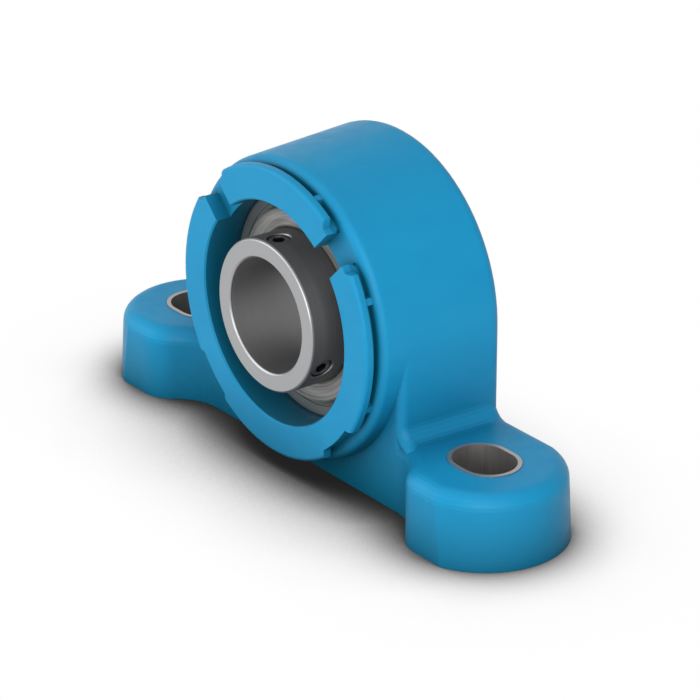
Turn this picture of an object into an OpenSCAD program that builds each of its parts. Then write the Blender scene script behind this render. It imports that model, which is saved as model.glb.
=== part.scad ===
// Pillow block bearing: a moulded housing on two bolt feet, with an insert bearing in a spherical
// seat that is locked to its shaft by two set screws.
// Millimetres. X runs along the base, -Y is the locking side, +Z is up. The origin lies on the
// mounting face, under the shaft axis, in the plane of the balls and of the bolts.

/* [Base] */
// Height of the shaft axis above the mounting face
axis_h = 42.9; // [42:0.1:46]
// Distance between the two bolt holes
bolt_spacing = 119; // [116:0.5:124]
// Depth of the feet in front of the bolt plane
base_front = 20; // [18:0.1:21]
// Depth of the base and body behind the bolt plane
base_back = 20.5; // [19:0.1:22]
// Height of the feet
foot_h = 19.6; // [17:0.1:22]
// Radius of a foot's rounded end at the mounting face
foot_r = 21.45; // [20.6:0.05:23]
// Rounding of the top edges of the feet
edge_round = 4; // [3:0.1:4.6]
// Distance from the bolt inwards to where the front of a foot starts to sweep back
sweep_start = 2.2; // [1:0.1:3]
// Radius at which the front of a foot turns back
sweep_out_r = 9.5; // [8:0.1:11]
// Radius at which the sweep runs out into the front of the arch
sweep_in_r = 14; // [12:0.5:16]
// Radius of the fillet between the arch side and the top of a foot
foot_fillet_r = 4; // [3:0.1:5]

/* [Body] */
// Wall between the seat's equator and the outside of the body, at the boss face
body_wall = 8.22; // [7.6:0.1:9]
// Draft of the moulded outside, in degrees
mould_draft = 2.8; // [1:0.1:3.5]
// Distance of the front face of the arch from the bolt plane
arch_front = 10.2; // [9.4:0.1:10.6]
// Rounding of the arch's upright front edges
arch_round = 2.5; // [1.5:0.1:3.5]
// Distance of the face of the round boss from the bolt plane
boss_front = 15.7; // [14.5:0.1:16.2]
// Rounding of the boss's front edge
boss_round = 2.4; // [1.5:0.1:3]
// Rounding of the body's back edge
back_round = 3; // [1.5:0.1:3.4]
// Distance of the step of the back recess from the bolt plane
recess_step = 12; // [11:0.1:14]
// Radial step between the seat's lip and the back recess
recess_step_w = 3.9; // [2:0.1:5]
// Small bevel on the edges of openings
edge_break = 0.4; // [0.2:0.1:0.8]

/* [Cover ring] */
// Distance of the ring's face from the bolt plane
ring_front = 19.9; // [19:0.1:20.6]
// Thickness of the ring's flange
flange_t = 2.3; // [1.8:0.1:2.8]
// Outer radius of the ring's flange
flange_r = 38.2; // [37.6:0.1:38.8]
// Depth of the groove behind the flange
groove_depth = 2.2; // [1.5:0.1:2.8]
// Rounding of the flange's front edge
flange_round = 1; // [0.4:0.1:1.5]
// Width of a bayonet notch at its floor
notch_w = 12.2; // [9:0.1:14]
// Slope of a notch's sides from the radius, in degrees
notch_slope = 46; // [20:1:55]
// Height of a notch's floor above the groove's floor
notch_lip = 0.3; // [0.2:0.1:0.6]
// Width of the two key slots through the ring
key_slot_w = 8.5; // [7:0.1:10]
// Angle from each notch to the stops beside it, in degrees
stop_angle = 22.5; // [18:0.5:26]
// Width of a stop at the groove's floor
stop_w = 3.4; // [2:0.1:4.5]
// Height of a stop above the groove's floor
stop_h = 1.8; // [1:0.1:2.1]

/* [Bolt sleeves] */
// Width of the slotted bolt hole
slot_w = 14; // [12:0.1:15]
// Length of the slotted bolt hole
slot_len = 17.4; // [16:0.1:19]
// Wall of the sleeve
sleeve_t = 1.1; // [0.8:0.1:1.6]
// Height by which the sleeve stands proud of the foot
sleeve_proud = 0.2; // [0.1:0.05:0.5]

/* [Insert bearing] */
// Bore diameter for the shaft
bore_d = 30; // [28:0.5:31]
// Outside diameter of the bearing
outside_d = 62; // [61.6:0.1:62.4]
// Width of the outer ring
outer_w = 18; // [17:0.1:19]
// Diameter of the inner ring's shoulders and collars
shoulder_d = 39.7; // [39:0.1:40.2]
// Distance of the inner ring's locking end from the ball plane
collar_front = 22.2; // [20:0.1:24]
// Distance of the inner ring's other end from the ball plane
collar_back = 15.9; // [15:0.1:17]
// Diameter of the balls
ball_d = 9.525; // [9.3:0.005:9.6]
// Diameter of the balls' pitch circle
pitch_d = 46; // [45.8:0.1:46.2]
// Diameter of the outer ring's shoulders beside the race
outer_shoulder_d = 52.8; // [52.2:0.1:53]
// Number of balls
ball_count = 9; // [7:1:9]
// Radius of the races over the ball's diameter
race_ratio = 0.52; // [0.515:0.005:0.53]
// Radial play between a ball and each race
race_clear = 0.05; // [0.02:0.01:0.1]
// Radial play between the outer ring and its seat
seat_clear = 0.08; // [0.03:0.01:0.1]
// Bevel of the rings' edges
ring_break = 0.5; // [0.3:0.1:0.8]
// Radius of the lip that the seat keeps at each side, below the seat's own radius
seat_lip = 1.98; // [1.6:0.02:2.1]

/* [Cage and seals] */
// Radial thickness of the cage
cage_t = 3; // [2:0.1:3.6]
// Distance that the cage reaches past the ball plane on its open side
cage_open = 2.4; // [1.5:0.1:3]
// Thickness of the cage's ring beside the balls
cage_rim = 1.3; // [1:0.1:1.6]
// Play of a ball in its pocket
pocket_clear = 0.2; // [0.1:0.05:0.3]
// Thickness of a seal
seal_t = 1.2; // [0.8:0.1:1.5]
// Distance of a seal's outer face inside the outer ring's face
seal_inset = 0.6; // [0.3:0.1:1]
// Radial play between a seal's lip and the inner ring
seal_clear = 0.3; // [0.2:0.05:0.5]
// Depth of the groove that holds a seal's rim
seal_groove = 1; // [0.6:0.1:1.2]
// Outer diameter of a flinger
flinger_d = 50.8; // [48:0.2:52]
// Thickness of a flinger's sheet
flinger_t = 0.5; // [0.4:0.1:0.7]
// Gap between a flinger's disc and the outer ring's face
flinger_gap = 1.4; // [1.3:0.1:1.8]
// Length of a flinger's hub
flinger_hub = 1.5; // [0.8:0.1:1.8]
// Length of a flinger's turned-in rim
flinger_rim = 1.2; // [0.6:0.1:1.3]

/* [Set screws] */
// Diameter of the set screws
screw_d = 6; // [5:0.5:6]
// Play between a screw and its hole
screw_clear = 0.05; // [0.03:0.01:0.1]
// Distance of the screws from the locking end of the inner ring
screw_inset = 4.7; // [4:0.1:6]
// Angle of the first screw about the shaft, in degrees
screw_angle = 91; // [0:1:180]
// Angle from the first screw to the second, in degrees
screw_apart = 120; // [90:5:150]
// Depth of a screw's outer end below the collar
screw_sunk = 0.65; // [0.2:0.05:1.5]
// Distance of a screw's point from the bore when it is backed off
screw_back_off = 0.25; // [0.1:0.05:0.5]
// Width across the flats of the socket
socket_af = 3; // [2.5:0.1:3.2]
// Depth of the socket
socket_depth = 2; // [1.5:0.1:2.4]
// Bevel at a screw hole's mouth
mouth_break = 0.4; // [0.2:0.1:0.6]

/* [Hidden] */
$fn = 96;

// Overlap by which joined shapes run into each other, and a slight one for tight places
weld = 1;
lap = 0.25;
// Reach of cutting shapes past the faces that they cut
reach = 2;
// Number of facets of a rounded edge
arc_steps = 6;

bolt_x = bolt_spacing / 2;
outer_r = outside_d / 2;
seat_r = outer_r + seat_clear;
lip_r = seat_r - seat_lip;
body_r = seat_r + body_wall;
bore_r = bore_d / 2;
shoulder_r = shoulder_d / 2;
groove_front = ring_front - flange_t;
groove_r = flange_r - groove_depth;
recess_r = lip_r + recess_step_w;
notch_angles = [45, 135, -45, -135];
key_angles = [45, 135];

// The sweep from a foot's front back to the arch: two arcs that touch, seen from above
sweep_turn = acos(1 - (base_front - arch_front) / (sweep_out_r + sweep_in_r));
sweep_out_x = bolt_x - sweep_start;
sweep_out_y = -base_front + sweep_out_r;
sweep_in_x = sweep_out_x - (sweep_out_r + sweep_in_r) * sin(sweep_turn);
sweep_in_y = -arch_front - sweep_in_r;

// Balls and races
pitch_r = pitch_d / 2;
ball_r = ball_d / 2;
race_r = ball_d * race_ratio;
race_shift = race_r - ball_r - race_clear;
race_shoulder_r = outer_shoulder_d / 2;
pocket_r = ball_r + pocket_clear;
seal_y = outer_w / 2 - seal_inset;
seal_seat_r = race_shoulder_r + seal_groove;
flinger_y = outer_w / 2 + flinger_gap;
screw_r = screw_d / 2;
screw_y = -collar_front + screw_inset;
screw_out = shoulder_r - screw_sunk;
screw_in = bore_r + screw_back_off;

// Half-width of the drafted body at depth y
function side_x(y) = body_r + (y + boss_front) * tan(mould_draft);
// Centre of a rounding of radius r that touches the drafted side at depth y
function round_x(y, r) = side_x(y) - r / cos(mould_draft);
// Points of an arc of radius r about [x, y]
function arc(x, y, r, from, to) = [
    for (i = [0 : arc_steps])
        let (angle = from + (to - from) * i / arc_steps)
        [x + r * cos(angle), y + r * sin(angle)]
];

module about_shaft() {
    translate([0, 0, axis_h]) rotate([-90, 0, 0]) children();
}

// Turns children so that +X points outwards at the given angle about the shaft
module at_angle(angle) {
    translate([0, 0, axis_h]) rotate([0, -angle, 0]) children();
}

// Extrudes an outline of depth and height from x1 to x2
module along_x(x1, x2) {
    translate([x1, 0, 0]) rotate([90, 0, 90]) linear_extrude(x2 - x1) children();
}

// Extrudes an outline of X and Z from y1 back to y2
module along_y(y1, y2) {
    translate([0, y2, 0]) rotate([90, 0, 0]) linear_extrude(y2 - y1) children();
}

// Half of the drafted body's outline, as radius and depth
module body_outline(front, front_round) {
    front_y = -front + front_round;
    back_y = base_back - back_round;
    polygon(concat(
        [[0, -front]],
        arc(round_x(front_y, front_round), front_y, front_round, -90, -mould_draft),
        arc(round_x(back_y, back_round), back_y, back_round, -mould_draft, 90),
        [[0, base_back]]
    ));
}

// Crown of the arch, down to the shaft axis
module crown() {
    about_shaft() rotate([0, 0, 180]) rotate_extrude(angle = 180) body_outline(boss_front, boss_round);
}

// Lower half of the round boss on the arch's front
module boss_low() {
    end_y = -arch_front + arch_round;
    front_y = -boss_front + boss_round;
    about_shaft() rotate_extrude(angle = 180) polygon(concat(
        [[0, -boss_front]],
        arc(round_x(front_y, boss_round), front_y, boss_round, -90, -mould_draft),
        [[side_x(end_y), end_y], [0, end_y]]
    ));
}

// Straight-sided body between the crown and the mounting face
module arch_base() {
    linear_extrude(axis_h) {
        body_outline(arch_front, arch_round);
        mirror([1, 0]) body_outline(arch_front, arch_round);
    }
}

// Section of the base with rounded top edges, as depth and height
module base_section(front) {
    polygon(concat(
        [[-front, 0]],
        arc(-front + edge_round, foot_h - edge_round, edge_round, 180, 90),
        arc(base_back - edge_round, foot_h - edge_round, edge_round, 90, 0),
        [[base_back, 0]]
    ));
}

// Section behind the sweep, from the bolt plane to the back
module back_section() {
    polygon(concat(
        [[0, 0], [0, foot_h]],
        arc(base_back - edge_round, foot_h - edge_round, edge_round, 90, 0),
        [[base_back, 0]]
    ));
}

// Half-section of a foot's drafted round end, as radius and height
module foot_end_section() {
    top_z = foot_h - edge_round;
    top_r = foot_r - top_z * tan(mould_draft) - edge_round / cos(mould_draft);
    polygon(concat(
        [[0, 0], [foot_r, 0]],
        arc(top_r, top_z, edge_round, mould_draft, 90),
        [[0, foot_h]]
    ));
}

// Outer arc of the sweep, where the foot's front turns back
module sweep_out() {
    intersection() {
        translate([sweep_out_x, sweep_out_y, 0]) rotate_extrude() polygon(concat(
            [[0, 0], [sweep_out_r, 0]],
            arc(sweep_out_r - edge_round, foot_h - edge_round, edge_round, 0, 90),
            [[0, foot_h]]
        ));
        linear_extrude(foot_h) polygon([
            [sweep_out_x, sweep_out_y],
            [sweep_in_x, sweep_in_y],
            [sweep_out_x, sweep_in_y]
        ]);
    }
}

// Inner arc of the sweep, where it runs out into the arch's front, back to the bolt plane
module sweep_in() {
    far_r = sweep_in_r + base_front;
    intersection() {
        translate([sweep_in_x, sweep_in_y, 0]) rotate_extrude() polygon(concat(
            [[sweep_in_r, 0], [far_r, 0], [far_r, foot_h]],
            arc(sweep_in_r + edge_round, foot_h - edge_round, edge_round, 90, 180)
        ));
        linear_extrude(foot_h) polygon([
            [sweep_out_x, sweep_out_y],
            [sweep_out_x, 0],
            [sweep_in_x, 0],
            [sweep_in_x, sweep_in_y]
        ]);
    }
}

// Fillet from the arch side down to the foot, with its front and back edges rounded
module foot_fillet() {
    front_y = -arch_front + arch_round;
    back_y = base_back - edge_round;
    length = (back_y - front_y) / cos(mould_draft);
    bury = foot_fillet_r + lap;
    intersection() {
        translate([side_x(front_y) + foot_fillet_r, front_y, foot_h + foot_fillet_r])
            rotate([0, 0, -mould_draft]) along_y(-weld, length + weld) polygon(concat(
                arc(0, 0, foot_fillet_r, 180, 270),
                [[0, -bury], [-bury, -bury], [-bury, 0]]
            ));
        translate([body_r - weld, front_y, foot_h - weld])
            cube([2 * foot_fillet_r, back_y - front_y, foot_fillet_r + 2 * weld]);
    }
    fillet_end(side_x(front_y) + foot_fillet_r, front_y, 1, arch_round);
    fillet_end(side_x(back_y) + foot_fillet_r, back_y, -1, edge_round);
}

// End of that fillet, rounded by end_r and turned about the fillet's axis; side is 1 in front and
// -1 behind
module fillet_end(x, y, side, end_r) {
    far_r = foot_fillet_r + end_r;
    translate([x, y, foot_h + foot_fillet_r]) intersection() {
        rotate([90 * side, 0, 0]) rotate_extrude() polygon(concat(
            arc(far_r, 0, end_r, 180, 90),
            [[far_r, 0]]
        ));
        translate([-far_r, -end_r, -far_r]) cube([far_r, 2 * end_r, far_r]);
    }
}

// One bolt foot at +X
module foot() {
    along_x(seat_r, sweep_in_x) base_section(arch_front);
    along_x(sweep_in_x, sweep_out_x) back_section();
    sweep_in();
    sweep_out();
    along_x(sweep_out_x, bolt_x) base_section(base_front);
    intersection() {
        translate([bolt_x, 0, 0]) rotate_extrude() foot_end_section();
        along_x(bolt_x, bolt_x + foot_r) base_section(base_front);
    }
    foot_fillet();
}

// Ring for a bayonet cover, standing on the boss: groove floor and flange
module cover_ring() {
    about_shaft() rotate_extrude() polygon(concat(
        [[0, -ring_front]],
        arc(flange_r - flange_round, -ring_front + flange_round, flange_round, -90, 0),
        [
            [flange_r, -groove_front],
            [groove_r, -groove_front],
            [groove_r, -boss_front + weld],
            [0, -boss_front + weld]
        ]
    ));
}

// Stop across the groove, beside a notch
module cover_stop(angle) {
    at_angle(angle) along_y(-groove_front - lap, -boss_front + lap) polygon([
        [groove_r - lap, -stop_w / 2],
        [groove_r + stop_h, -stop_w / 4],
        [groove_r + stop_h, stop_w / 4],
        [groove_r - lap, stop_w / 2]
    ]);
}

// Notch in the flange that lets a cover's lug in
module notch_cut(angle) {
    floor_r = groove_r + notch_lip;
    floor_x = sqrt(floor_r * floor_r - notch_w * notch_w / 4);
    spread = tan(notch_slope);
    low = floor_x - weld;
    high = flange_r + reach;
    difference() {
        at_angle(angle) along_y(-ring_front - reach, -groove_front + weld) polygon([
            [low, -notch_w / 2 + weld * spread],
            [high, -notch_w / 2 - (high - floor_x) * spread],
            [high, notch_w / 2 + (high - floor_x) * spread],
            [low, notch_w / 2 - weld * spread]
        ]);
        about_shaft() translate([0, 0, -ring_front - 2 * reach]) cylinder(r = floor_r, h = 4 * reach + flange_t);
    }
}

// Slot through the ring for the set screws' key
module key_slot(angle) {
    at_angle(angle) translate([lip_r - reach, -ring_front - reach, -key_slot_w / 2])
        cube([groove_r + notch_lip - lip_r + reach, ring_front - boss_front + reach, key_slot_w]);
}

// Room inside the housing: front opening, spherical seat and back recess
module insert_space() {
    bevel = edge_break + reach;
    about_shaft() rotate_extrude() polygon([
        [0, -ring_front - reach],
        [lip_r + bevel, -ring_front - reach],
        [lip_r, -ring_front + edge_break],
        [lip_r, recess_step],
        [recess_r, recess_step],
        [recess_r, base_back - edge_break],
        [recess_r + bevel, base_back + reach],
        [0, base_back + reach]
    ]);
    translate([0, 0, axis_h]) sphere(seat_r);
}

// The two slots at the back through which the insert goes in crosswise
module loading_slots() {
    half_w = outer_w / 2 + lap;
    about_shaft() intersection() {
        cylinder(r = seat_r, h = base_back + reach);
        translate([-seat_r, -half_w, 0]) cube([2 * seat_r, 2 * half_w, base_back + reach]);
    }
}

// Slotted hole or sleeve outline, drawn as a solid
module slot_solid(width, len, z1, z2) {
    half = (len - width) / 2;
    translate([0, 0, z1]) {
        translate([-half, 0, 0]) cylinder(d = width, h = z2 - z1);
        translate([half, 0, 0]) cylinder(d = width, h = z2 - z1);
        translate([-half, -width / 2, 0]) cube([2 * half, width, z2 - z1]);
    }
}

module housing() {
    color("#3199cb") difference() {
        union() {
            crown();
            boss_low();
            arch_base();
            cover_ring();
            foot();
            mirror([1, 0, 0]) foot();
            for (angle = notch_angles, turn = [-stop_angle, stop_angle]) cover_stop(angle + turn);
        }
        insert_space();
        loading_slots();
        for (angle = notch_angles) notch_cut(angle);
        for (angle = key_angles) key_slot(angle);
        for (x = [-bolt_x, bolt_x]) translate([x, 0, 0])
            slot_solid(slot_w + 2 * sleeve_t, slot_len + 2 * sleeve_t, -reach, foot_h + reach);
    }
}

// Slotted metal sleeve moulded into a foot
module bushing(x) {
    color("#b5b2ae") translate([x, 0, 0]) difference() {
        slot_solid(slot_w + 2 * sleeve_t, slot_len + 2 * sleeve_t, 0, foot_h + sleeve_proud);
        slot_solid(slot_w, slot_len, -reach, foot_h + sleeve_proud + reach);
    }
}

// Outer ring: spherical outside, one deep race, a rebate for a seal at each face
module outer_ring() {
    half_w = outer_w / 2;
    face_r = sqrt(outer_r * outer_r - half_w * half_w);
    color("#8f9296") about_shaft() rotate_extrude() difference() {
        intersection() {
            circle(outer_r);
            polygon([
                [race_shoulder_r, -half_w],
                [face_r - ring_break, -half_w],
                [face_r + ring_break, -half_w + ring_break],
                [outer_r + weld, 0],
                [face_r + ring_break, half_w - ring_break],
                [face_r - ring_break, half_w],
                [race_shoulder_r, half_w]
            ]);
        }
        translate([pitch_r - race_shift, 0]) circle(race_r);
        for (side = [-1, 1]) seal_rebate(side);
    }
}

// Rebate in the outer ring that holds a seal's rim
module seal_rebate(side) {
    y1 = seal_y - seal_t;
    translate([race_shoulder_r - weld, side > 0 ? y1 : -seal_y]) square([seal_groove + weld, seal_t]);
    translate([race_shoulder_r - weld, side > 0 ? seal_y - lap : -outer_w / 2 - reach])
        square([seal_groove / 2 + weld, seal_inset + reach + lap]);
}

// Inner ring: bore for the shaft, race, a collar at each end and two screw holes
module inner_ring() {
    color("#aeb0b3") difference() {
        about_shaft() rotate_extrude() difference() {
            polygon([
                [bore_r + edge_break, -collar_front],
                [shoulder_r - ring_break, -collar_front],
                [shoulder_r, -collar_front + ring_break],
                [shoulder_r, collar_back - ring_break],
                [shoulder_r - ring_break, collar_back],
                [bore_r + edge_break, collar_back],
                [bore_r, collar_back - edge_break],
                [bore_r, -collar_front + edge_break]
            ]);
            translate([pitch_r + race_shift, 0]) circle(race_r);
        }
        for (turn = [0, -screw_apart]) screw_hole(screw_angle + turn);
    }
}

// Screw hole through the collar, with a bevelled mouth
module screw_hole(angle) {
    hole_r = screw_r + screw_clear;
    at_angle(angle) translate([0, screw_y, 0]) rotate([0, 90, 0]) {
        translate([0, 0, bore_r - reach]) cylinder(r = hole_r, h = shoulder_r - bore_r + 2 * reach);
        translate([0, 0, shoulder_r - mouth_break])
            cylinder(r1 = hole_r, r2 = hole_r + mouth_break + reach, h = mouth_break + reach);
    }
}

// Set screw with a hexagon socket and a cone point
module set_screw(angle) {
    tip = screw_r / 2;
    color("#3a3a3c") at_angle(angle) translate([0, screw_y, 0]) rotate([0, 90, 0]) difference() {
        union() {
            translate([0, 0, screw_in]) cylinder(r1 = screw_r - tip, r2 = screw_r, h = tip);
            translate([0, 0, screw_in + tip])
                cylinder(r = screw_r, h = screw_out - screw_in - tip - edge_break);
            translate([0, 0, screw_out - edge_break])
                cylinder(r1 = screw_r, r2 = screw_r - edge_break, h = edge_break);
        }
        translate([0, 0, screw_out - socket_depth])
            cylinder(d = socket_af / cos(30), h = socket_depth + reach, $fn = 6);
    }
}

module ball(index) {
    color("#c9ccd0") at_angle(90 + index * 360 / ball_count) translate([pitch_r, 0, 0]) sphere(ball_r);
}

// Crown cage: a ring on one side of the balls with open pockets towards the other
module cage() {
    color("#d8d2bf") difference() {
        about_shaft() rotate_extrude() translate([pitch_r - cage_t / 2, -cage_open])
            square([cage_t, cage_open + pocket_r + cage_rim]);
        for (i = [0 : ball_count - 1])
            at_angle(90 + i * 360 / ball_count) translate([pitch_r, 0, 0]) sphere(pocket_r);
    }
}

// Turns children about the ball plane for the front, with side -1
module facing(side) {
    about_shaft() rotate([side > 0 ? 0 : 180, 0, 0]) children();
}

// Rubber seal in the outer ring's rebate, with a rounded lip; side is -1 in front and 1 behind
module seal(side) {
    lip_x = shoulder_r + seal_clear + seal_t / 2;
    color("#2b2c2e") facing(side) rotate_extrude() polygon(concat(
        arc(lip_x, seal_y - seal_t / 2, seal_t / 2, 270, 90),
        [[seal_seat_r, seal_y], [seal_seat_r, seal_y - seal_t]]
    ));
}

// Thin sheet flinger on the inner ring, with a hub and a turned-in rim; side as for the seal
module flinger(side) {
    rim_r = flinger_d / 2;
    top_y = flinger_y + flinger_t;
    color("#b9bbbd") facing(side) rotate_extrude() polygon(concat(
        [
            [shoulder_r, flinger_y - flinger_hub],
            [shoulder_r + flinger_t, flinger_y - flinger_hub],
            [shoulder_r + flinger_t, flinger_y],
            [rim_r - flinger_t, flinger_y],
            [rim_r - flinger_t, flinger_y - flinger_rim],
            [rim_r, flinger_y - flinger_rim]
        ],
        arc(rim_r - flinger_t, flinger_y, flinger_t, 0, 90),
        [[shoulder_r, top_y]]
    ));
}

housing();
bushing(-bolt_x);  // bushing_left
bushing(bolt_x);  // bushing_right
outer_ring();
inner_ring();
cage();
for (i = [1 : ball_count]) ball(i - 1);
seal(-1);  // seal_front
seal(1);  // seal_rear
flinger(-1);  // flinger_front
flinger(1);  // flinger_rear
set_screw(screw_angle);  // set_screw_1
set_screw(screw_angle - screw_apart);  // set_screw_2
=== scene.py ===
"""Pillow block bearing: finishes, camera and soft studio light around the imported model. Metres."""
import math

import bpy
from mathutils import Matrix, Vector


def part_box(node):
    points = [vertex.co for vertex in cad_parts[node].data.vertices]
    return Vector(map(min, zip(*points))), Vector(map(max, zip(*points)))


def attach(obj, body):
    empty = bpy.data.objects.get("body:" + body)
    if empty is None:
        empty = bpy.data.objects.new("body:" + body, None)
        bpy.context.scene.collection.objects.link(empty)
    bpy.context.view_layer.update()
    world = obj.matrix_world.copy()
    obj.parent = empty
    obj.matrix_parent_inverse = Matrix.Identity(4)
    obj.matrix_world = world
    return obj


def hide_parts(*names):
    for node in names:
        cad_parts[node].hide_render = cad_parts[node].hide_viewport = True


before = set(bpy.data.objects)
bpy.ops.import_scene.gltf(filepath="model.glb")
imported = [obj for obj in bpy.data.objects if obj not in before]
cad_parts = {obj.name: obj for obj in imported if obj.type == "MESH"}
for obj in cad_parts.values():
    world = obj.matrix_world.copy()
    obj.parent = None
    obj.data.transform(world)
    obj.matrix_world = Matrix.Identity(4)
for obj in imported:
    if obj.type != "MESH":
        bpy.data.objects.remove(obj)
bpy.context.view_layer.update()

# The shaft axis and the inner ring's shoulder and ends, read from the imported model
RING_LOW, RING_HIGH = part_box("inner_ring")
AXIS_H = (RING_LOW[2] + RING_HIGH[2]) / 2
SHOULDER_R = (RING_HIGH[0] - RING_LOW[0]) / 2
COLLAR_FRONT = RING_LOW[1]
COLLAR_BACK = RING_HIGH[1]

# Radius of the bore, which a box can't give
BORE_R = 0.015

# Camera: the photograph's place, direction and lens, with the lens and its sensor in millimetres
CAMERA_AT = (0.6802, -0.5155, 0.4135)
CAMERA_AHEAD = (-0.7239, 0.5533, -0.4120)
CAMERA_UP = (-0.3274, 0.2502, 0.9112)
CAMERA_LENS = 190.2
CAMERA_SENSOR = 36.0
CAMERA_NEAR = 0.01
CAMERA_FAR = 20.0

# Softboxes: name, degrees round from the front towards the right end, degrees up, watts
SOFTBOXES = (
    ("key_softbox", 52.0, 25.0, 11.3),
    ("left_softbox", -40.0, 25.0, 5.6),
    ("top_softbox", 0.0, 89.0, 2.8),
)
SOFTBOX_SIZE = (1.1, 1.1)
SOFTBOX_DISTANCE = 1.2
ROOM_LIGHT = 0.12
WHITE = (1.0, 1.0, 1.0, 1.0)

# The floor: its size, how far its painted shadow and its painted dark contact line reach, how open to the
# sky a point may be and still be wholly dark, and the floor's tones
FLOOR_SIZE = 3.0
SHADOW_REACH = 0.05
SHADOW_CLOSED = 0.0
CONTACT_REACH = 0.02
CONTACT_CLOSED = 0.2
DARKEST_FLOOR = 0.015
FLOOR_TONE = 0.85
FLOOR_SAMPLES = 16

# Colours, as they look on a screen; a pair runs from the darker to the lighter end of a finish
HOUSING_BLUE = (0.10, 0.592, 0.795)
HOUSING_BLUE_LIGHT = (0.125, 0.622, 0.82)
# Painted shade: the housing's blue where it lies deep in a recess
HOUSING_BLUE_PAINTED_SHADE = (0.03, 0.345, 0.445)
MOULD_SPECKLE = (0.30, 0.66, 0.82)
SLEEVE_STEEL = ((0.60, 0.59, 0.58), (0.68, 0.665, 0.655))
GROUND_FACE = ((0.66, 0.665, 0.67), (0.70, 0.705, 0.71))
HONED_BORE = ((0.545, 0.545, 0.55), (0.605, 0.605, 0.61))
DARK_COLLAR = ((0.37, 0.37, 0.375), (0.42, 0.42, 0.425))
OUTER_RING_STEEL = ((0.50, 0.52, 0.52), (0.60, 0.62, 0.62))
# Painted sheen: the flinger's cloudy light and dark streaks
FLINGER_PAINTED_SHEEN = ((0.46, 0.455, 0.45), (0.70, 0.69, 0.67))
FLINGER_RINGS = (0.76, 0.755, 0.745)
BALL_STEEL = ((0.80, 0.81, 0.83), (0.86, 0.87, 0.88))
CAGE_POLYAMIDE = ((0.80, 0.77, 0.68), (0.88, 0.85, 0.77))
SEAL_RUBBER = ((0.45, 0.47, 0.46), (0.53, 0.55, 0.54))
SCREW_OXIDE = ((0.38, 0.38, 0.38), (0.52, 0.515, 0.51))
# Painted shade: near black down in a screw's socket
SOCKET_PAINTED_SHADE = (0.03, 0.03, 0.03)

# Where the inner ring's finishes begin and where they are full: the bore, the collar's outside, its
# bevel, and the front and back edges that the bevel belongs to. The bevel's outer part takes the collar's
# darker finish as painted shade, which dims its highlight to a thin bright line
BORE_ZONE = (BORE_R + 0.0002, BORE_R + 0.0001)
OUTSIDE_ZONE = (SHOULDER_R - 0.0002, SHOULDER_R - 0.0001)
DIMMED_BEVEL_ZONE = (SHOULDER_R - 0.00035, SHOULDER_R - 0.0002)
FRONT_EDGE_ZONE = (COLLAR_FRONT + 0.0009, COLLAR_FRONT + 0.0006)
BACK_EDGE_ZONE = (COLLAR_BACK - 0.0009, COLLAR_BACK - 0.0006)

# Recesses darkened with painted shade: how far round a point is looked, and how open it is at the darkest
# and at the lightest
MOULD_SHADE_RECESS = (0.024, 0.34, 1.0)
SOCKET_SHADE_RECESS = (0.004, 0.42, 0.78)
PAINTED_SHADE_SAMPLES = 8

# Rounding of the moulding's edges, too small for the solid model
MOULD_EDGE = 0.00035
EDGE_SAMPLES = 6

# Values that most of a noise lies between
NOISE_LOW = 0.3
NOISE_HIGH = 0.7

# Index of refraction of every finish
SURFACE_IOR = 1.5

# Sockets of a Mix node that mixes colours
MIX_FACTOR = 0
MIX_FROM = 6
MIX_TO = 7
MIX_RESULT = 2

# The flingers: sheet thickness, bend radius at mid-sheet, and how much less deep the rim is than the hub
SHEET = 0.0005
SHEET_BEND = 0.00075
RIM_SHORTER = 0.0003
BEND_STEPS = 5
SPUN_FACETS = 128
SHEARED_EDGE = SHEET / 5
SHEARED_STEPS = 2
SHARP_ANGLE = math.radians(60)
SMOOTH_ANGLE = math.radians(40)


def linear(colour):
    """A screen colour as the linear values that a shader socket takes, with alpha."""
    def channel(c):
        return c / 12.92 if c <= 0.04045 else ((c + 0.055) / 1.055) ** 2.4
    return tuple(channel(c) for c in colour) + (1.0,)


def add_node(tree, kind, inputs=None, **settings):
    """Adds a node; inputs maps a socket's name or number to a value or to another socket."""
    node = tree.nodes.new(kind)
    for key, value in settings.items():
        setattr(node, key, value)
    for key, value in (inputs or {}).items():
        if isinstance(value, bpy.types.NodeSocket):
            tree.links.new(value, node.inputs[key])
        else:
            node.inputs[key].default_value = value
    return node


def maths(tree, operation, *values):
    """The result of a sum on numbers and sockets."""
    return add_node(tree, "ShaderNodeMath", dict(enumerate(values)), operation=operation).outputs[0]


# Materials

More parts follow.
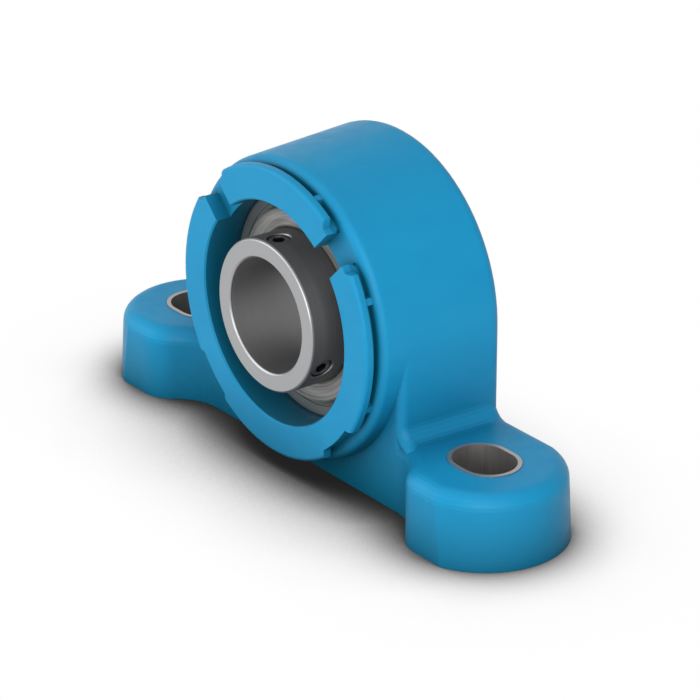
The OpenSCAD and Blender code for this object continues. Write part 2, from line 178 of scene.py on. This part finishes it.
class Finish:
    """A material whose pattern is built from nodes on Object coordinates."""

    def __init__(self, name, metallic=0.0):
        self.material = bpy.data.materials.new(name)
        self.material.use_nodes = True
        self.tree = self.material.node_tree
        self.shader = self.tree.nodes["Principled BSDF"]
        self.place = self.node("ShaderNodeTexCoord").outputs["Object"]
        self.even("Metallic", metallic)
        self.even("IOR", SURFACE_IOR)

    def even(self, name, value):
        """Sets a property that is the same all over the surface."""
        self.shader.inputs[name].default_value = value

    def varied(self, name, socket):
        """Gives a property a pattern."""
        self.tree.links.new(socket, self.shader.inputs[name])

    def node(self, kind, inputs=None, **settings):
        return add_node(self.tree, kind, inputs, **settings)

    def maths(self, operation, *values):
        return maths(self.tree, operation, *values)

    def mapped(self, scale=(1.0, 1.0, 1.0), location=(0.0, 0.0, 0.0)):
        """Object coordinates stretched and moved, for a pattern on a piece."""
        node = self.node("ShaderNodeMapping", {"Vector": self.place, "Location": location, "Scale": scale})
        return node.outputs["Vector"]

    def noise(self, scale, detail=3.0, roughness=0.5, vector=None):
        return self.node("ShaderNodeTexNoise", {
            "Vector": vector or self.place, "Scale": scale, "Detail": detail, "Roughness": roughness,
        }).outputs["Fac"]

    def range(self, value, low, high, to_low=0.0, to_high=1.0):
        """A value between low and high, drawn out to a new range and held at its ends."""
        return self.node("ShaderNodeMapRange", {
            "Value": value, "From Min": low, "From Max": high, "To Min": to_low, "To Max": to_high,
        }).outputs["Result"]

    def spread(self, noise, to_low=0.0, to_high=1.0):
        """A noise drawn out to a whole new range."""
        return self.range(noise, NOISE_LOW, NOISE_HIGH, to_low, to_high)

    def blend(self, factor, colour_a, colour_b):
        """Mixes two colours; each is a screen colour or a socket."""
        ends = [linear(end) if isinstance(end, tuple) else end for end in (colour_a, colour_b)]
        inputs = {MIX_FACTOR: factor, MIX_FROM: ends[0], MIX_TO: ends[1]}
        return self.node("ShaderNodeMix", inputs, data_type="RGBA").outputs[MIX_RESULT]

    def bump(self, height, strength, distance, edge=0.0):
        """Raises a fine texture, and where edge is given, catches light on edges as a rounding would."""
        node = self.node("ShaderNodeBump", {"Height": height, "Strength": strength, "Distance": distance})
        if edge:
            rounded = self.node("ShaderNodeBevel", {"Radius": edge}, samples=EDGE_SAMPLES)
            self.tree.links.new(rounded.outputs["Normal"], node.inputs["Normal"])
        self.varied("Normal", node.outputs["Normal"])

    def painted_recess_shade(self, reach, closed, open_to):
        """How much painted shade a recess gets: 0 deep in a recess, 1 where the surface lies open."""
        hollow = self.node("ShaderNodeAmbientOcclusion", {"Distance": reach}, samples=PAINTED_SHADE_SAMPLES)
        return self.range(hollow.outputs["AO"], closed, open_to)

    def from_the_shaft(self):
        """How far a point lies across, along and above the shaft axis."""
        return self.node("ShaderNodeSeparateXYZ", {0: self.mapped(location=(0.0, 0.0, -AXIS_H))}).outputs

    def radius(self, across, above):
        """Distance from the shaft axis."""
        squares = [self.maths("MULTIPLY", side, side) for side in (across, above)]
        return self.maths("SQRT", self.maths("ADD", *squares))

    def turned_lines(self, radius, depth, per_metre):
        """Fine rings left by turning and grinding: noise that changes only with radius and depth."""
        vector = self.node("ShaderNodeCombineXYZ", {0: radius, 1: depth}).outputs[0]
        return self.noise(per_metre, detail=2.0, roughness=0.35, vector=vector)


def moulded_housing():
    """Blue glass-filled polymer: faint flow mottling, fine eroded mould texture, satin gloss, and painted
    shade that deepens the blue in recesses.
    """
    f = Finish("moulded_blue_polymer")
    f.even("Specular IOR Level", 0.17)
    flow = f.noise(38.0, detail=4.0, roughness=0.55, vector=f.mapped(scale=(1.0, 0.6, 1.4)))
    speckle = f.noise(2600.0, detail=2.0, roughness=0.6)
    tone = f.blend(f.spread(flow), HOUSING_BLUE, HOUSING_BLUE_LIGHT)
    tone = f.blend(f.range(speckle, 0.62, 0.8, to_high=0.12), tone, MOULD_SPECKLE)
    # Painted shade: the blue darkens to a deeper tone in recesses, by ambient occlusion
    f.varied("Base Color", f.blend(f.painted_recess_shade(*MOULD_SHADE_RECESS), HOUSING_BLUE_PAINTED_SHADE, tone))
    f.varied("Roughness", f.spread(f.noise(240.0), 0.36, 0.48))
    coarse = f.maths("MULTIPLY", f.noise(90.0, detail=2.0), 1.5)
    grain = f.maths("ADD", f.noise(1500.0, roughness=0.6), coarse)
    f.bump(grain, strength=0.12, distance=0.00008, edge=MOULD_EDGE)
    return f.material


def drawn_sleeve():
    """Pressed stainless sleeve: lines along its wall from drawing, with a cloudy sheen."""
    f = Finish("drawn_stainless_sleeve", metallic=0.75)
    lines = f.noise(1.0, roughness=0.6, vector=f.mapped(scale=(2600.0, 2600.0, 60.0)))
    f.varied("Base Color", f.blend(f.spread(lines), *SLEEVE_STEEL))
    f.varied("Roughness", f.spread(f.noise(160.0), 0.28, 0.42))
    f.bump(lines, strength=0.08, distance=0.00002)
    return f.material


def ground_inner_ring():
    """Ground ring faces and honed bore, with the darker finish of the collar's outside, and that finish
    painted on the outer part of the bevels as shade that dims their highlight.
    """
    f = Finish("ground_inner_ring")
    f.even("Anisotropic", 0.5)
    across, depth, above = f.from_the_shaft()
    radius = f.radius(across, above)
    rings = f.turned_lines(radius, depth, 9000.0)
    broad = f.turned_lines(radius, depth, 1400.0)
    face, bore, collar = [
        f.blend(f.spread(rings), *colours) for colours in (GROUND_FACE, HONED_BORE, DARK_COLLAR)
    ]
    in_bore = f.range(radius, *BORE_ZONE)
    at_end = f.maths("MAXIMUM", f.range(depth, *FRONT_EDGE_ZONE), f.range(depth, *BACK_EDGE_ZONE))
    # Painted shade: the outer part of the bevel at each end takes the collar's darker finish to dim its
    # highlight
    bevel_painted_dark = f.maths("MULTIPLY", at_end, f.range(radius, *DIMMED_BEVEL_ZONE))
    collar_and_dimmed_bevel = f.maths("MAXIMUM", bevel_painted_dark, f.range(radius, *OUTSIDE_ZONE))
    f.varied("Base Color", f.blend(collar_and_dimmed_bevel, f.blend(in_bore, face, bore), collar))
    f.varied("Metallic", f.range(collar_and_dimmed_bevel, 0.0, 1.0, to_low=1.0, to_high=0.4))
    duller = f.maths("MULTIPLY", f.maths("MAXIMUM", collar_and_dimmed_bevel, in_bore), 0.14)
    f.varied("Roughness", f.maths("ADD", f.spread(broad, 0.3, 0.38), duller))
    f.bump(rings, strength=0.2, distance=0.00002)
    return f.material


def ground_outer_ring():
    """Ground bearing steel, duller than the inner ring."""
    f = Finish("ground_outer_ring", metallic=0.5)
    across, depth, above = f.from_the_shaft()
    rings = f.turned_lines(f.radius(across, above), depth, 7000.0)
    f.varied("Base Color", f.blend(f.spread(rings), *OUTER_RING_STEEL))
    f.varied("Roughness", f.spread(f.noise(200.0), 0.4, 0.52))
    f.bump(rings, strength=0.2, distance=0.00002)
    return f.material


def stamped_flinger():
    """Thin spun stainless sheet: fine rings, and a soft cloudy sheen painted across them in its colour."""
    f = Finish("stamped_flinger_sheet", metallic=0.35)
    across, depth, above = f.from_the_shaft()
    radius = f.radius(across, above)
    turns = [f.maths("MULTIPLY", f.maths("DIVIDE", side, radius), 1.5) for side in (across, above)]
    around = f.node("ShaderNodeCombineXYZ", {
        0: turns[0], 1: turns[1], 2: f.maths("MULTIPLY", radius, 1100.0),
    }).outputs[0]
    # Painted sheen: cloudy light and dark streaks in the sheet's colour
    painted_sheen = f.blend(f.range(f.noise(1.0, vector=around), 0.36, 0.64), *FLINGER_PAINTED_SHEEN)
    rings = f.turned_lines(radius, depth, 5000.0)
    f.varied("Base Color", f.blend(f.range(rings, 0.35, 0.8, to_high=0.3), painted_sheen, FLINGER_RINGS))
    f.varied("Roughness", f.spread(rings, 0.34, 0.5))
    f.bump(rings, strength=0.15, distance=0.00002)
    return f.material


def lapped_ball():
    """Lapped bearing steel, nearly a mirror, with the finest scuffs."""
    f = Finish("lapped_ball_steel", metallic=1.0)
    f.varied("Base Color", f.blend(f.noise(300.0), *BALL_STEEL))
    f.varied("Roughness", f.range(f.noise(900.0, detail=4.0, roughness=0.7), 0.3, 0.8, 0.05, 0.14))
    return f.material


def moulded_cage():
    """Natural polyamide with a slight grain."""
    f = Finish("moulded_cage_polyamide")
    f.even("Roughness", 0.5)
    f.even("Subsurface Weight", 0.08)
    f.varied("Base Color", f.blend(f.noise(120.0, detail=4.0), *CAGE_POLYAMIDE))
    f.bump(f.noise(1800.0), strength=0.12, distance=0.00004)
    return f.material


def seal_rubber():
    """Moulded nitrile rubber: grey and matt, with a dusty bloom."""
    f = Finish("moulded_seal_rubber")
    f.varied("Base Color", f.blend(f.range(f.noise(90.0, detail=4.0), 0.35, 0.75), *SEAL_RUBBER))
    f.varied("Roughness", f.spread(f.noise(400.0), 0.55, 0.72))
    f.bump(f.noise(2200.0), strength=0.15, distance=0.00004)
    return f.material


def blackened_screw():
    """Black oxide on steel, worn brighter in places, and painted shade that darkens it down in the socket.
    """
    f = Finish("blackened_screw_steel", metallic=0.5)
    worn = f.blend(f.range(f.noise(700.0, detail=4.0), 0.5, 0.75), *SCREW_OXIDE)
    # Painted shade: black down in the socket, by ambient occlusion
    f.varied("Base Color", f.blend(f.painted_recess_shade(*SOCKET_SHADE_RECESS), SOCKET_PAINTED_SHADE, worn))
    f.varied("Roughness", f.spread(f.noise(1200.0), 0.3, 0.46))
    return f.material


# The flingers' sheets

def select_only(piece):
    bpy.ops.object.select_all(action="DESELECT")
    piece.select_set(True)
    bpy.context.view_layer.objects.active = piece


def finish_modifier(piece, kind, name, **settings):
    """Adds a modifier and applies it."""
    modifier = piece.modifiers.new(name, kind)
    for key, value in settings.items():
        setattr(modifier, key, value)
    select_only(piece)
    bpy.ops.object.modifier_apply(modifier=name)


def bend(radius, depth, size, start, end):
    """Points of a bend about a centre, as radius and depth, from one angle to another in degrees."""
    for step in range(BEND_STEPS + 1):
        angle = math.radians(start + (end - start) * step / BEND_STEPS)
        yield radius + size * math.cos(angle), depth + size * math.sin(angle)


def spun_sheet(name, profile):
    """A sheet spun on a lathe: a circle drawn out along its profile, then given its thickness."""
    radius, depth = profile[0]
    bpy.ops.object.select_all(action="DESELECT")
    bpy.ops.mesh.primitive_circle_add(
        vertices=SPUN_FACETS, radius=radius, fill_type="NOTHING",
        location=(0.0, depth, AXIS_H), rotation=(math.pi / 2, 0.0, 0.0),
    )
    piece = bpy.context.object
    piece.name = name
    bpy.ops.object.transform_apply(location=True, rotation=True, scale=True)
    bpy.ops.object.mode_set(mode="EDIT")
    for (r1, y1), (r2, y2) in zip(profile, profile[1:]):
        bpy.ops.mesh.extrude_region_move()
        bpy.ops.transform.translate(value=(0.0, y2 - y1, 0.0))
        bpy.ops.transform.resize(value=(r2 / r1, 1.0, r2 / r1), center_override=(0.0, y2, AXIS_H))
    bpy.ops.mesh.select_all(action="SELECT")
    bpy.ops.mesh.normals_make_consistent(inside=False)
    bpy.ops.object.mode_set(mode="OBJECT")
    finish_modifier(piece, "SOLIDIFY", "sheet_thickness", thickness=SHEET, offset=0.0)
    finish_modifier(
        piece, "BEVEL", "sheared_edges", width=SHEARED_EDGE, segments=SHEARED_STEPS,
        limit_method="ANGLE", angle_limit=SHARP_ANGLE,
    )
    select_only(piece)
    bpy.ops.object.shade_smooth_by_angle(angle=SMOOTH_ANGLE)
    return piece


def flinger_piece(side, node, material):
    """The flinger's sheet: a hub on the inner ring, a bend out, the disc and its turned-in rim."""
    low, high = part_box(node)
    out_r = high[0] - SHEET / 2
    in_r = SHOULDER_R + SHEET / 2
    face = max(abs(low[1]), abs(high[1])) - SHEET / 2
    back = min(abs(low[1]), abs(high[1]))
    profile = [(in_r, back)]
    profile += bend(in_r + SHEET_BEND, face - SHEET_BEND, SHEET_BEND, 180, 90)
    profile += bend(out_r - SHEET_BEND, face - SHEET_BEND, SHEET_BEND, 90, 0)
    profile += [(out_r, back + RIM_SHORTER)]
    sheet = spun_sheet(node + "_sheet", [(radius, side * depth) for radius, depth in profile])
    sheet.data.materials.append(material)
    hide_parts(node)
    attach(sheet, "inner_ring")


def dress(node, material):
    """Gives a node one material."""
    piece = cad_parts[node]
    piece.data.materials.clear()
    piece.data.materials.append(material)


def dress_all():
    """Gives every node its finish; the nodes that aren't listed are the balls."""
    sleeve = drawn_sleeve()
    ball = lapped_ball()
    rubber = seal_rubber()
    flinger = stamped_flinger()
    screw = blackened_screw()
    finishes = {
        "housing": moulded_housing(), "bushing_left": sleeve, "bushing_right": sleeve,
        "outer_ring": ground_outer_ring(), "inner_ring": ground_inner_ring(), "cage": moulded_cage(),
        "seal_front": rubber, "seal_rear": rubber, "flinger_front": flinger, "flinger_rear": flinger,
        "set_screw_1": screw, "set_screw_2": screw,
    }
    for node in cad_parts:
        dress(node, finishes.get(node, ball))
    flinger_piece(-1, "flinger_front", flinger)
    flinger_piece(1, "flinger_rear", flinger)


# Camera, floor and light

def set_camera():
    ahead = Vector(CAMERA_AHEAD).normalized()
    right = ahead.cross(Vector(CAMERA_UP)).normalized()
    up = right.cross(ahead)
    turn = Matrix((right, up, -ahead)).transposed().to_4x4()
    lens = bpy.data.cameras.new("photo_camera")
    lens.lens = CAMERA_LENS
    lens.sensor_width = CAMERA_SENSOR
    lens.clip_start = CAMERA_NEAR
    lens.clip_end = CAMERA_FAR
    camera = bpy.data.objects.new("photo_camera", lens)
    camera.matrix_world = Matrix.Translation(CAMERA_AT) @ turn
    bpy.context.collection.objects.link(camera)
    bpy.context.scene.camera = camera


def add_softbox(name, at, aim, watts):
    """A square lamp that faces its aim and isn't seen by the camera."""
    lamp = bpy.data.lights.new(name, "AREA")
    lamp.shape = "RECTANGLE"
    lamp.size, lamp.size_y = SOFTBOX_SIZE
    lamp.energy = watts
    box = bpy.data.objects.new(name, lamp)
    turn = (aim - at).to_track_quat("-Z", "Y").to_matrix().to_4x4()
    box.matrix_world = Matrix.Translation(at) @ turn
    box.visible_camera = False
    bpy.context.collection.objects.link(box)


def light_studio():
    """Places the softboxes round the shaft axis."""
    middle = Vector((0.0, 0.0, AXIS_H))
    for name, around, up, watts in SOFTBOXES:
        level = math.cos(math.radians(up))
        turn = math.radians(around)
        towards = Vector((level * math.sin(turn), -level * math.cos(turn), math.sin(math.radians(up))))
        add_softbox(name, middle + SOFTBOX_DISTANCE * towards, middle, watts)


def seen_or_lighting(tree, lighting, seen):
    """One shader for rays that light the object, another for the camera's, reflections and glass."""
    path = add_node(tree, "ShaderNodeLightPath").outputs
    direct = maths(tree, "MAXIMUM", path["Is Camera Ray"], path["Is Glossy Ray"])
    direct = maths(tree, "MAXIMUM", direct, path["Is Transmission Ray"])
    inputs = {0: direct, 1: lighting.outputs[0], 2: seen.outputs[0]}
    return add_node(tree, "ShaderNodeMixShader", inputs).outputs[0]


def set_world():
    """White behind the object, and an even dim light from all round."""
    world = bpy.data.worlds.new("studio")
    world.use_nodes = True
    bpy.context.scene.world = world
    tree = world.node_tree
    tree.nodes.clear()
    room = add_node(tree, "ShaderNodeBackground", {"Color": WHITE, "Strength": ROOM_LIGHT})
    white = add_node(tree, "ShaderNodeBackground", {"Color": WHITE, "Strength": 1.0})
    add_node(tree, "ShaderNodeOutputWorld", {0: seen_or_lighting(tree, room, white)})


def open_floor(tree, reach, closed):
    """0 where the floor lies under something, 1 where nothing stands within reach."""
    sky = add_node(tree, "ShaderNodeAmbientOcclusion", {"Distance": reach}, samples=FLOOR_SAMPLES)
    inputs = {"Value": sky.outputs["AO"], "From Min": closed, "From Max": 1.0}
    return add_node(tree, "ShaderNodeMapRange", inputs, interpolation_type="SMOOTHSTEP").outputs["Result"]


def add_floor():
    """A pale floor with a painted soft contact shadow, taken from ambient occlusion into its glow and its
    colour, that runs out into the white behind.
    """
    bpy.ops.mesh.primitive_plane_add(size=FLOOR_SIZE)
    floor = bpy.context.object
    floor.name = "studio_floor"
    material = bpy.data.materials.new("pale_floor")
    material.use_nodes = True
    tree = material.node_tree
    tree.nodes.clear()
    near = open_floor(tree, CONTACT_REACH, CONTACT_CLOSED)
    wide = open_floor(tree, SHADOW_REACH, SHADOW_CLOSED)
    both = maths(tree, "MULTIPLY", near, maths(tree, "MULTIPLY", wide, wide))
    # Painted shadow: ambient occlusion darkens the floor's glow and colour near the object
    painted_floor_shadow = maths(tree, "MULTIPLY_ADD", both, 1.0 - DARKEST_FLOOR, DARKEST_FLOOR)
    matt = add_node(tree, "ShaderNodeBsdfDiffuse", {"Color": maths(tree, "MULTIPLY", painted_floor_shadow, FLOOR_TONE)})
    pale = add_node(tree, "ShaderNodeEmission", {"Strength": painted_floor_shadow})
    add_node(tree, "ShaderNodeOutputMaterial", {0: seen_or_lighting(tree, matt, pale)})
    floor.data.materials.append(material)


bpy.context.scene.view_settings.view_transform = "Standard"
set_camera()
set_world()
add_floor()
light_studio()
dress_all()
